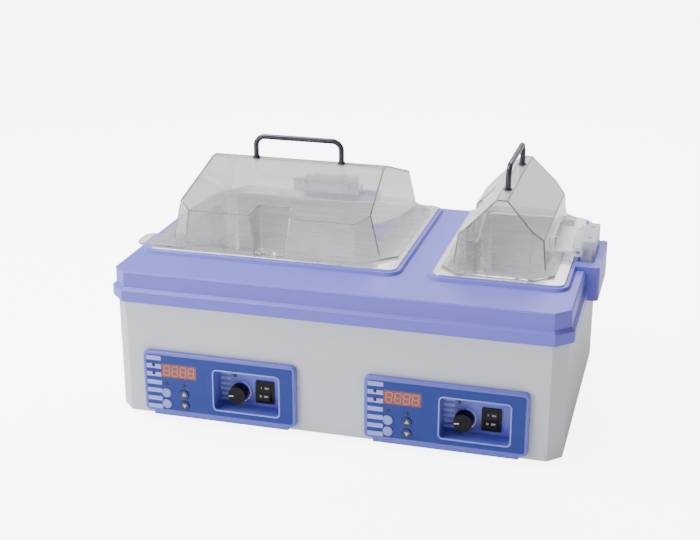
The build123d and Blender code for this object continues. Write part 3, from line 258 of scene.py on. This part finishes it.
def steel(name, colour, rough, fineness=260):
    """Bare steel: metallic, with streaks that shift its tone and its roughness."""
    material = bpy.data.materials.new(name)
    material.use_nodes = True
    tree = material.node_tree
    shader = tree.nodes["Principled BSDF"]
    shader.inputs["Metallic"].default_value = 1
    place = tree.nodes.new("ShaderNodeTexCoord")
    effect = tree.nodes.new("ShaderNodeGroup")
    effect.node_tree = drawn
    effect.inputs["Fineness"].default_value = fineness
    tree.links.new(place.outputs["Object"], effect.inputs["Vector"])
    tint = tree.nodes.new("ShaderNodeVectorMath")
    tint.operation = "SCALE"
    tint.inputs[0].default_value = colour
    tree.links.new(between(tree, effect.outputs["Streak"], 0.9, 1.06), tint.inputs["Scale"])
    tree.links.new(tint.outputs["Vector"], shader.inputs["Base Color"])
    tree.links.new(between(tree, effect.outputs["Streak"], *rough), shader.inputs["Roughness"])
    return material


# Corners of a CAD mesh that agree to a millionth of a metre are one corner, and faces
# that meet within flat_angle, in degrees, are one face.
corner_grid = 1e6
flat_angle = 0.4


def softened(node, material, body, radius, segments=3, corner=24):
    """A CAD node with rounded edges: its loose triangles are welded, flat regions are
    joined, and every edge sharper than corner, in degrees, is rounded to the radius."""
    source = nodes[node].data
    source.calc_loop_triangles()
    points = np.zeros(len(source.vertices) * 3)
    source.vertices.foreach_get("co", points)
    triangles = np.zeros(len(source.loop_triangles) * 3, int)
    source.loop_triangles.foreach_get("vertices", triangles)
    on_grid = np.round(points.reshape(-1, 3) * corner_grid).astype(np.int64)
    _, first, where = np.unique(on_grid, axis=0, return_index=True, return_inverse=True)
    faces = where.ravel()[triangles].reshape(-1, 3)
    a, b, c = faces.T
    whole = (a != b) & (b != c) & (a != c)
    mesh = bpy.data.meshes.new(node + "_rounded")
    mesh.from_pydata(points.reshape(-1, 3)[first].tolist(), [], faces[whole].tolist())
    joined = bmesh.new()
    joined.from_mesh(mesh)
    bmesh.ops.dissolve_limit(
        joined, angle_limit=radians(flat_angle), verts=joined.verts, edges=joined.edges
    )
    joined.to_mesh(mesh)
    joined.free()
    mesh.materials.append(material)
    mesh.shade_smooth()
    piece = bpy.data.objects.new(node + "_rounded", mesh)
    scene.collection.objects.link(piece)
    rounding = piece.modifiers.new("rounded edges", "BEVEL")
    rounding.width = radius
    rounding.segments = segments
    rounding.limit_method = "ANGLE"
    rounding.angle_limit = radians(corner)
    rounding.harden_normals = True
    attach(piece, body)
    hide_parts(node)


def coat_node(node, material):
    """Gives a CAD node its finish in its own material slot."""
    nodes[node].material_slots[0].material = material


# The case: folded steel sheet with cut corners, powder-coated in a pale grey with a fine
# orange-peel. Its folds are rounded by the sheet's own bending radius.
case_paint = coated("case_paint", (0.52, 0.54, 0.58), (0.42, 0.55), 1400, 0.12, (0.96, 1.03))
softened("case_shell", case_paint, "base", 0.0011, corner=35)

# The base: a plated pan with its screws under the case, and four rubber feet, which are
# moulded with a matte skin.
pan_steel = steel("pan_steel", (0.55, 0.56, 0.58), (0.35, 0.5), 120)
screw_steel = steel("screw_steel", (0.72, 0.72, 0.74), (0.16, 0.3), 900)
foot_rubber = coated("foot_rubber", (0.02, 0.02, 0.022), (0.75, 0.9), 1800, 0.3, (0.85, 1.2), 40)
coat_node("base_plate", pan_steel)
coat_node("rubber_feet", foot_rubber)
for node in ("base_screws", "foot_screws", "cover_screws", "inlet_screws", "hinge_block_screws"):
    coat_node(node, screw_steel)

# The cover: a lavender-blue moulding with a satin skin. The tool's edges are rounded, so
# the skirt, the lips and the hinge bosses all catch a soft line of light.
cover_plastic = coated(
    "cover_plastic", (0.14, 0.135, 0.6), (0.32, 0.44), 1100, 0.08, (0.97, 1.03), Specular_IOR_Level=0.3
)
softened("cover", cover_plastic, "base", 0.0016, corner=26)

# The mains inlet: a black moulded socket held by two screws at the back.
inlet_black = coated("inlet_black", (0.012, 0.012, 0.014), (0.4, 0.55), 1600, 0.15, (0.9, 1.1), 30)
coat_node("power_inlet", inlet_black)

# The chambers: deep-drawn stainless tanks with a bright rolled rim, over perforated trays.
# The heater pads, probes and felt jackets are inside the case.
stainless = steel("stainless", (0.93, 0.93, 0.94), (0.2, 0.34), 180)
tray_steel = steel("tray_steel", (0.88, 0.88, 0.89), (0.3, 0.42), 300)
heater_rubber = coated("heater_rubber", (0.42, 0.11, 0.04), (0.6, 0.75), 1200, 0.2, (0.85, 1.15), 30)
probe_steel = steel("probe_steel", (0.66, 0.66, 0.68), (0.25, 0.4), 700)
felt = coated("felt", (0.72, 0.64, 0.42), (0.9, 1.0), 500, 0.9, (0.8, 1.15), 60)
for side in sides:
    softened(f"{side}_tank", stainless, "base", 0.0006, corner=40)
    coat_node(f"{side}_tray", tray_steel)
    coat_node(f"{side}_heater", heater_rubber)
    coat_node(f"{side}_sensors", probe_steel)
    coat_node(f"{side}_insulation_jacket", felt)

# The lids: hoods of clear smoke-grey acrylic, 3 mm thick, with polished edges. Rubbing with
# cloths leaves them a little hazy in patches, so a small part of the light scatters.
def clear_plastic(name, colour, rough, clearness, index, shade):
    """A clear moulding: the grain's haze over a refracting body that passes the share
    clearness of the light. What stands under it is lit through it: its shadow has the
    opacity shade."""
    material = coated(name, colour, rough, 260, 0.006, (0.95, 1.03), 9)
    tree = material.node_tree
    shader = tree.nodes["Principled BSDF"]
    shader.inputs["Transmission Weight"].default_value = clearness
    shader.inputs["IOR"].default_value = index
    ray = tree.nodes.new("ShaderNodeLightPath")
    tree.links.new(between(tree, ray.outputs["Is Shadow Ray"], 1, shade), shader.inputs["Alpha"])
    return material


clear_lid = clear_plastic("clear_lid", (0.79, 0.79, 0.795), (0.015, 0.05), 0.93, 1.44, 0.12)
for side in sides:
    softened(f"{side}_lid", clear_lid, f"{side}_lid_body", 0.0006, 2, 20)

# The handles: bent rods with a collar at each foot, coated a deep blue-black gloss.
handle_black = coated(
    "handle_black", (0.012, 0.013, 0.03), (0.3, 0.4), 900, 0.03, (0.9, 1.1), 25, Coat_Weight=0.15
)
for side in sides:
    coat_node(f"{side}_handle", handle_black)
    coat_node(f"{side}_handle_screws", screw_steel)

# The hinges: leaf and block are moulded in a frosted, half-clear plastic, riveted to the
# lid and turned on a steel pin.
hinge_frost = clear_plastic("hinge_frost", (0.74, 0.77, 0.82), (0.3, 0.44), 0.45, 1.3, 0.45)
for side in sides:
    softened(f"{side}_hinge_leaf", hinge_frost, f"{side}_lid_body", 0.0009, 3, 30)
    softened(f"{side}_hinge_block", hinge_frost, "base", 0.0018, 3, 30)
    coat_node(f"{side}_hinge_rivets", screw_steel)
    coat_node(f"{side}_hinge_pin", screw_steel)

# The control panels: a blue moulded frame, a deep blue printed film with a satin face, a
# red filter over the display, dark lenses, and the controls. u runs to the right of a
# panel's middle, w up and out towards the front, all in millimetres.
bezel_blue = coated("bezel_blue", (0.1, 0.11, 0.5), (0.26, 0.36), 1200, 0.06, (0.97, 1.03), 12)
overlay_blue = coated(
    "overlay_blue",
    (0.016, 0.034, 0.22),
    (0.34, 0.44),
    1800,
    0.05,
    (0.96, 1.04),
    14,
    Specular_IOR_Level=0.25,
)
display_red = coated(
    "display_red", (0.21, 0.032, 0.026), (0.06, 0.12), 400, 0.01, (0.9, 1.1), 60, Coat_Weight=0.3
)
lamp_red = coated("lamp_red", (0.012, 0.004, 0.01), (0.05, 0.1), 400, 0.01, (0.9, 1.1), 60)
button_lavender = coated(
    "button_lavender", (0.24, 0.25, 0.56), (0.3, 0.4), 1500, 0.06, (0.97, 1.03), 30
)
button_dark = coated("button_dark", (0.008, 0.012, 0.08), (0.3, 0.42), 1500, 0.06, (0.95, 1.05), 30)
black = (0.004, 0.004, 0.005)
knob_black = coated(
    "knob_black", black, (0.4, 0.55), 1500, 0.15, (0.9, 1.15), 40, Specular_IOR_Level=0.2
)
switch_black = coated(
    "switch_black", black, (0.3, 0.42), 1300, 0.08, (0.9, 1.1), 40, Specular_IOR_Level=0.2
)
board_green = coated("board_green", (0.03, 0.18, 0.07), (0.4, 0.6), 500, 0.1, (0.8, 1.2), 90)
thermostat_ivory = coated(
    "thermostat_ivory", (0.66, 0.62, 0.5), (0.45, 0.6), 900, 0.1, (0.9, 1.08), 40
)
for side in sides:
    softened(f"{side}_bezel", bezel_blue, "base", 0.001, 3, 35)
    for name, material in (
        ("overlay", overlay_blue),
        ("display_window", display_red),
        ("lamps", lamp_red),
        ("upper_button", button_lavender),
        ("lower_button", button_lavender),
        ("up_button", button_dark),
        ("down_button", button_dark),
        ("knob", knob_black),
        ("switch_housing", switch_black),
        ("rocker", switch_black),
        ("control_board", board_green),
        ("thermostat", thermostat_ivory),
    ):
        coat_node(f"{side}_{name}", material)

# Where a panel's middle and the case's front stand, in millimetres, and how far out of the
# case's front the film and the pocket's floor are. A printed layer is ink_rise thick and
# starts ink_root inside what carries it.
panel_x = {"left": -169.0, "right": 154.0}
case_front = -218.4
panel_z = 60.5
film_front = 8.6
pocket_floor = -20.0
ink_root = 0.05
ink_rise = 0.2
knob_middle = (22.0, -13.0)


def on_panel(side, u, w, out):
    """Millimetres on a panel to metres in the frame: u to x, w to z, out to -y."""
    u, w, out = np.broadcast_arrays(u, w, out)
    return np.stack((panel_x[side] + u, case_front - out, panel_z + w), -1) / 1000


def rounded_outline(width, height, radius, steps=6):
    """A rectangle with round corners: four quarter circles about the corners' centres."""
    turn = np.linspace(0, pi / 2, steps)
    quarter = np.arange(4)[:, None] * pi / 2 + turn[None, :]
    sign_u = np.array([1, -1, -1, 1])[:, None]
    sign_w = np.array([1, 1, -1, -1])[:, None]
    u = sign_u * (width / 2 - radius) + radius * np.cos(quarter)
    w = sign_w * (height / 2 - radius) + radius * np.sin(quarter)
    return np.stack((u.ravel(), w.ravel()), -1)


def inward(outline):
    """The unit normals of a closed outline, towards its inside, from its neighbours' chord."""
    chord = np.roll(outline, -1, 0) - np.roll(outline, 1, 0)
    chord /= np.maximum(np.linalg.norm(chord, axis=1, keepdims=True), 1e-9)
    return np.stack((-chord[:, 1], chord[:, 0]), -1)


def pads(name, side, shapes, back, rise, edge, material, body):
    """Low pads on a panel: each outline is carried from back to near its top, then in by
    edge and up by edge, and closed at both ends."""
    points, faces, start = [], [], 0
    for outline in shapes:
        n = len(outline)
        inner = outline + inward(outline) * edge
        rings = np.stack((outline, outline, inner))
        depth = np.array([back, back + rise - edge, back + rise])[:, None]
        points.append(on_panel(side, rings[..., 0], rings[..., 1], depth).reshape(-1, 3))
        faces += (grid_faces(3, n) + start).tolist()
        faces.append(list(range(start, start + n))[::-1])
        faces.append(list(range(start + 2 * n, start + 3 * n)))
        start += 3 * n
    new_piece(name, np.concatenate(points), faces, material, body)


def bead(name, side, path, back, half_width, rise, material, body, steps=7):
    """A half-round bead along a closed path: its section is half an ellipse from one foot
    to the other, set out along the path's normals."""
    turn = np.linspace(0, pi, steps)
    off = half_width * np.cos(turn)[:, None, None] * inward(path)[None]
    ring = path[None] + off
    depth = back + rise * np.sin(turn)[:, None]
    points = on_panel(side, ring[..., 0], ring[..., 1], depth)
    new_piece(name, points, grid_faces(steps, len(path)), material, body)


# Printing on the film: seven pale bars down the left, and six on the pocket's floor. Each
# is a thin layer of ink, and all are plain marks.
bar_ink = coated("bar_ink", (0.27, 0.3, 0.72), (0.35, 0.45), 1600, 0.05, (0.97, 1.03), 25)
for side in sides:
    for name, surface, size, u, top, spacing, count in (
        ("panel_bars", film_front, (21.8, 6.6), -96.5, 36.9, 12.45, 7),
        ("pocket_bars", pocket_floor, (15.4, 4.2), 0.5, 12.7, 8, 6),
    ):
        back = surface - ink_root
        bar = rounded_outline(*size, 0.4, 4)
        bars = [bar + (u, top - spacing * k) for k in range(count)]
        pads(f"{side}_{name}", side, bars, back, ink_rise, 0.05, bar_ink, "base")

# The pocket's lip: the frame's moulding is rolled over the film's cut edge all round the
# pocket. It is coloured lighter than the frame's own blue, as a painted highlight where the
# rolled edge catches the light.
# A lighter copy of the frame's blue, painted as the highlight on the rolled lip.
lip_highlight_blue = coated("lip_highlight_blue", (0.2, 0.24, 0.66), (0.25, 0.35), 1200, 0.05, (0.97, 1.03), 12)
lip_path = rounded_outline(97.6, 61.6, 5.8, 8) + (40.5, -2.5)
lip_back = film_front - 0.1
for side in sides:
    bead(f"{side}_pocket_lip", side, lip_path, lip_back, 1.1, 0.8, lip_highlight_blue, "base")

# The display: four digits of seven segments behind the red filter, unlit but for a pale
# glow, each segment a bar with pointed ends. The digits lean to the right by digit_slant.
digit_glow = coated("digit_glow", (0.42, 0.19, 0.17), (0.2, 0.3), 500, 0.02, (0.9, 1.08), 60)
digit_places = (-77.4, -65.1, -52.9, -40.7)
digit_middle = 19
digit_height = 14.4
digit_width = 8.4
digit_slant = 0.08
stroke = 1.25
segment_gap = 0.5
display_back = 8.25


def segment(length, width, u, w, upright):
    """One segment: a bar with a point at each end, upright or level, about (u, w)."""
    half, tip = length / 2, width / 2
    near = half - tip
    flat = np.array([(-half, 0), (-near, -tip), (near, -tip), (half, 0), (near, tip), (-near, tip)])
    shape = np.stack((-flat[:, 1], flat[:, 0]), -1) if upright else flat
    return shape + (u, w)


digits = []
for place in digit_places:
    for u, w, upright in (
        (0, digit_height / 2, False),
        (0, 0, False),
        (0, -digit_height / 2, False),
        (-digit_width / 2, digit_height / 4, True),
        (digit_width / 2, digit_height / 4, True),
        (-digit_width / 2, -digit_height / 4, True),
        (digit_width / 2, -digit_height / 4, True),
    ):
        length = (digit_height / 2 if upright else digit_width) - segment_gap
        middle = place + u + digit_slant * w
        digits.append(segment(length, stroke, middle, digit_middle + w, upright))
for side in sides:
    pads(f"{side}_digits", side, digits, display_back, 0.12, 0.04, digit_glow, "base")

# Two more indicator lenses stand on the second and third bars as dark domes.
dome_u = -97.0
dome_radius = 2.6
dome_rise = 1.3
ring = np.linspace(0, 2 * pi, 28, endpoint=False)[None]
height = np.linspace(0, pi / 2, 7)[:, None]
radius = dome_radius * np.cos(height)
for side in sides:
    dome_points, dome_faces = [], []
    for k, w in enumerate((26.0, 13.4)):
        out = film_front + dome_rise * np.sin(height)
        dome = on_panel(side, dome_u + radius * np.cos(ring), w + radius * np.sin(ring), out)
        dome_points.append(dome.reshape(-1, 3))
        dome_faces += (grid_faces(height.size, ring.size) + k * height.size * ring.size).tolist()
    points = np.concatenate(dome_points)
    new_piece(f"{side}_side_lamps", points, dome_faces, lamp_red, "base")

# The keys: the round ones have a darker ring inside the rim, painted shade for the groove
# there. The arrow keys have a warm grey arrow set into the triangle that is cut in each
# cap.
arrow_grey = coated("arrow_grey", (0.42, 0.4, 0.33), (0.35, 0.45), 1500, 0.05, (0.95, 1.05), 30)
# A darker blue laid on as painted shade for the groove inside each round key's rim.
key_groove_shade = coated("key_groove_shade", (0.17, 0.19, 0.5), (0.28, 0.36), 1500, 0.05, (0.97, 1.03), 30)
round_key_u = -78.5
arrow_key_u = -52
upper_w = -15
lower_w = -32
ring_radius = 4.9
arrow_radius = 3.95
ring_back = 10.19
arrow_back = 9.72
circle = np.linspace(0, 2 * pi, 40, endpoint=False)
for side in sides:
    for key, w in (("upper", upper_w), ("lower", lower_w)):
        name, body = f"{side}_{key}_key_ring", f"{side}_{key}_button_body"
        around = np.stack((np.cos(circle), np.sin(circle)), -1)
        path = np.array((round_key_u, w)) + ring_radius * around
        bead(name, side, path, ring_back, 0.45, 0.03, key_groove_shade, body)
    for key, w, turn in (("up", upper_w, pi / 2), ("down", lower_w, -pi / 2)):
        name, body = f"{side}_{key}_arrow", f"{side}_{key}_button_body"
        corner = turn + np.arange(3) * 2 * pi / 3
        around = np.stack((np.cos(corner), np.sin(corner)), -1)
        arrow = np.array((arrow_key_u, w)) + arrow_radius * around
        pads(name, side, [arrow], arrow_back, 0.45, 0.06, arrow_grey, body)

# The knob: a white line is painted on its raised pointer, and a white scale that widens
# clockwise is printed round it on the pocket's floor.
white_paint = coated("white_paint", (0.82, 0.82, 0.84), (0.35, 0.45), 1500, 0.05, (0.97, 1.02), 30)
pointer_turn = radians(187)
pointer_back = -2.62
along = np.array((cos(pointer_turn), sin(pointer_turn)))
square = np.array((-sin(pointer_turn), cos(pointer_turn)))
reach = np.array((4.6, 11.6, 11.6, 4.6))[:, None]
half = np.array((-0.7, -0.7, 0.7, 0.7))[:, None]
pointer = np.array(knob_middle) + reach * along + half * square
sweep = np.linspace(radians(82), radians(-92), 40)
inner = 15.0
outer = inner + np.linspace(0.35, 1.5, 40)
inner_edge = np.stack((inner * np.cos(sweep), inner * np.sin(sweep)), -1)
outer_edge = np.stack((outer * np.cos(sweep), outer * np.sin(sweep)), -1)
arc = np.concatenate((inner_edge, outer_edge[::-1])) + knob_middle
arc_back = pocket_floor - ink_root
for side in sides:
    name, body = f"{side}_pointer_line", f"{side}_knob_body"
    pads(name, side, [pointer], pointer_back, 0.1, 0.03, white_paint, body)
    name = f"{side}_scale_arc"
    pads(name, side, [arc], arc_back, ink_rise, 0.03, white_paint, "base")

# The rocker: its two faces carry the usual white marks, I and ON above, O and OFF below,
# and tilt with it. At rest it leans back by rocker_lean about a pivot inside the panel. A
# face's middle is face_out in front of the pivot and face_up above or below it, and each
# face rises by face_slope towards its outer end.
rocker_u = 59
rocker_depth = 20.5
rocker_z = 50.5
rocker_lean = radians(11)
face_out = 4.65
face_up = 6
face_slope = 1.7 / 12
mark_gap = 0.02
mark_depth = 0.05


def lettering(name, words, side, material, body):
    """White lettering on the rocker's faces: each word is laid out flat, then x is carried
    along the panel, y up the face and z out of it."""
    into = np.array((0, cos(rocker_lean), -sin(rocker_lean)))
    up = np.array((0, sin(rocker_lean), cos(rocker_lean)))
    pivot = np.array((panel_x[side] + rocker_u, case_front + rocker_depth, rocker_z))
    points, faces, start = [], [], 0
    for word, u, face, size in words:
        slope = face_slope * face
        normal = (-into - slope * up) / np.hypot(1, slope)
        climb = (up - slope * into) / np.hypot(1, slope)
        middle = pivot - face_out * into + face_up * face * up + mark_gap * normal
        text = bpy.data.curves.new(name, "FONT")
        text.body = word
        text.size = size
        text.align_x = "CENTER"
        text.align_y = "CENTER"
        text.extrude = mark_depth
        holder = bpy.data.objects.new(name, text)
        scene.collection.objects.link(holder)
        flat = bpy.data.meshes.new_from_object(
            holder.evaluated_get(bpy.context.evaluated_depsgraph_get())
        )
        bpy.data.objects.remove(holder)
        local = np.zeros(len(flat.vertices) * 3)
        flat.vertices.foreach_get("co", local)
        x, y, z = local.reshape(-1, 3).T
        offset = np.outer(x + u, (1, 0, 0)) + np.outer(y, climb) + np.outer(z, normal)
        points.append((middle + offset) / 1000)
        faces += [[v + start for v in polygon.vertices] for polygon in flat.polygons]
        start += len(flat.vertices)
    new_piece(name, np.concatenate(points), faces, material, body, smooth=False)


marks = (("I", -4.6, 1, 4.2), ("ON", 3.4, 1, 3.6), ("O", -5.0, -1, 4.2), ("OFF", 3.2, -1, 3.6))
for side in sides:
    name, body = f"{side}_rocker_marks", f"{side}_rocker_body"
    lettering(name, marks, side, white_paint, body)
